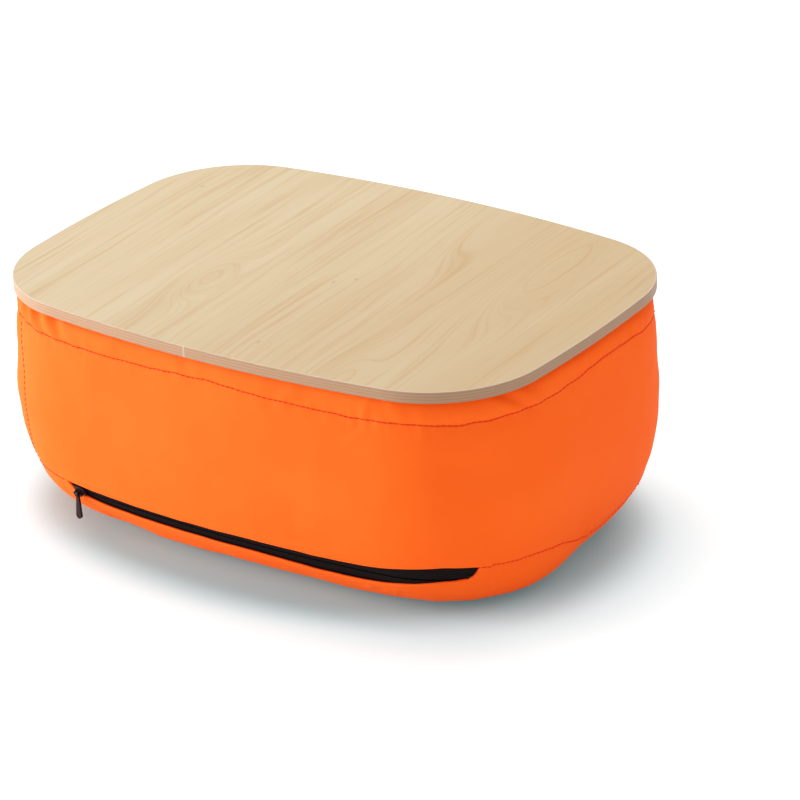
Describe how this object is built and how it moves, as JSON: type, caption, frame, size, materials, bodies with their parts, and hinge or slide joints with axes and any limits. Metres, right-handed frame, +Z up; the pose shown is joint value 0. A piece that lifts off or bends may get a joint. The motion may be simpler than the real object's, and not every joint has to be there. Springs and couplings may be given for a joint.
{
  "type": "lap tray with cushion",
  "caption": "Thin wood-look board on a bead-filled orange cushion with a zippered washable cover, for use on the lap.",
  "frame": {"origin": "on the surface it stands on, under the middle of the board", "axes": "+X along the long side, +Z up through the board's top face; the zipper is on the -Y side"},
  "size_m": [0.371, 0.262, 0.15],
  "materials": {
    "board_core": "matte",
    "maple_laminate": "satin",
    "backing_laminate": "satin",
    "edge_strip": "satin",
    "hook_tape": "matte",
    "loop_tape": "matte",
    "cover_fabric": "matte",
    "sewing_thread": "matte",
    "zipper_cloth": "matte",
    "zipper_coil": "satin",
    "zipper_metal": "satin",
    "liner_fabric": "matte",
    "bead_fill": "matte"
  },
  "bodies": {
    "cushion": {"cover_top_panel": "cover_fabric", "cover_side_panel": "cover_fabric", "cover_bottom_panel": "cover_fabric", "seam_thread_top": "sewing_thread", "seam_thread_bottom": "sewing_thread", "seam_thread_corner": "sewing_thread", "zipper_tape_upper": "zipper_cloth", "zipper_tape_lower": "zipper_cloth", "zipper_coil_upper": "zipper_coil", "zipper_coil_lower": "zipper_coil", "zipper_top_stop_upper": "zipper_metal", "zipper_top_stop_lower": "zipper_metal", "zipper_bottom_stop": "zipper_metal", "liner_upper": "liner_fabric", "liner_lower": "liner_fabric", "bead_fill": "bead_fill", "loop_tape_front": "loop_tape", "loop_tape_back": "loop_tape", "loop_tape_left": "loop_tape", "loop_tape_right": "loop_tape"},
    "tray": {"tray_core": "board_core", "top_laminate": "maple_laminate", "bottom_laminate": "backing_laminate", "edge_band": "edge_strip", "hook_tape_front": "hook_tape", "hook_tape_back": "hook_tape", "hook_tape_left": "hook_tape", "hook_tape_right": "hook_tape"},
    "slider": {"zipper_slider": "zipper_metal"},
    "pull": {"zipper_pull": "zipper_metal"}
  },
  "joints": [
    {"name": "tray_lift", "type": "slide", "parent": "cushion", "child": "tray", "axis": [0, 0, 1], "range_m": [0, 0.06]},
    {"name": "slider_run", "type": "hinge", "parent": "cushion", "child": "slider", "pos_m": [0, 0.80826, 0.027], "axis": [0, 0, 1], "range_deg": [0, 13.3]},
    {"name": "pull_swing", "type": "hinge", "parent": "slider", "child": "pull", "pos_m": [-0.10904, -0.11631, 0.02717], "axis": [-0.9931, 0.1171, 0], "range_deg": [-12, 150]}
  ]
}
